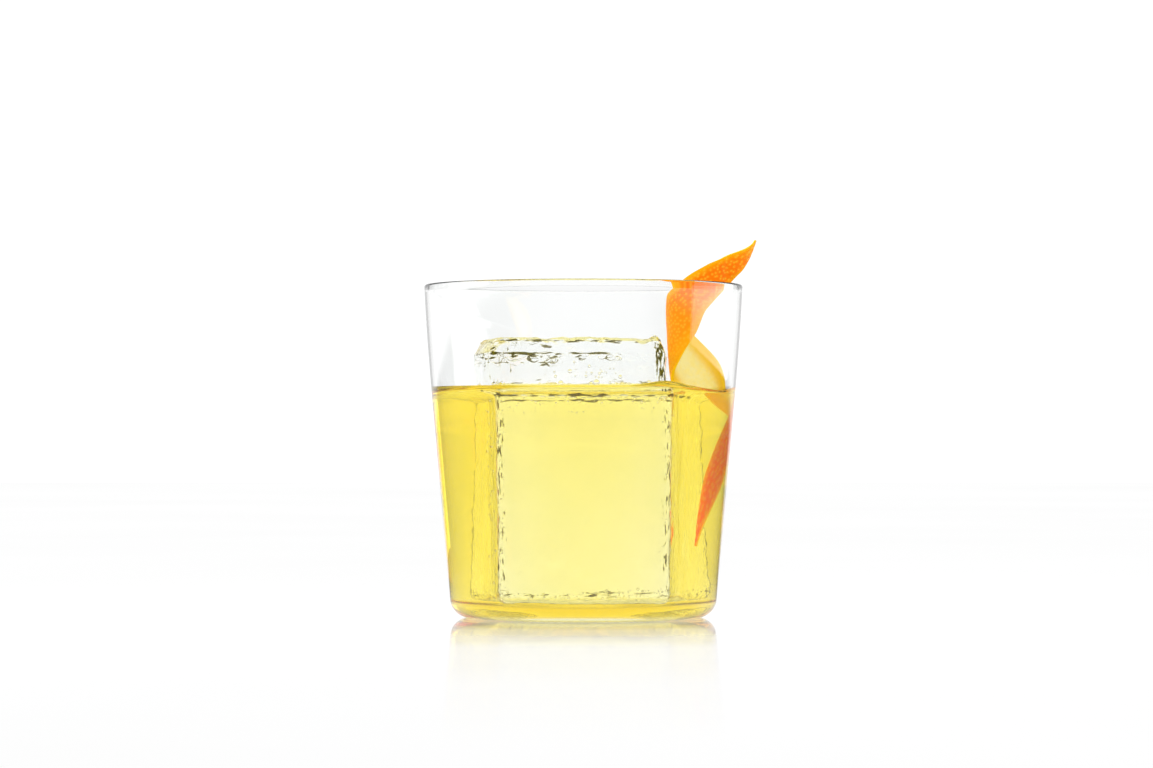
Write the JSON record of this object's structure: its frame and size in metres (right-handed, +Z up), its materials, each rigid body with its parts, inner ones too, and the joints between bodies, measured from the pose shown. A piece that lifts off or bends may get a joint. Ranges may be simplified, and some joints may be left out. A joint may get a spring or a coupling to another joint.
{
  "type": "white negroni",
  "caption": "Tapered tumbler filled two thirds with a clear yellow drink, holding one large clear ice block and a curled strip of orange peel.",
  "frame": {"origin": "on the glass's axis, at the middle of the foot's flat underside", "axes": "+Z up along the glass's axis; +X to the right, towards the orange twist; -Y towards the viewer, where the ice block's large flat face is"},
  "size_m": [0.092, 0.088, 0.1043],
  "materials": {
    "glass": "clear, polished, thin walled",
    "drink": "clear bright yellow liquid",
    "ice": "clear ice with slightly uneven faces and rough edges",
    "peel": "satin orange skin with fine pores outside, pale yellow pith inside"
  },
  "bodies": {
    "root": {"glass": "glass", "drink": "drink", "ice_block": "ice", "orange_twist": "peel"}
  },
  "joints": []
}
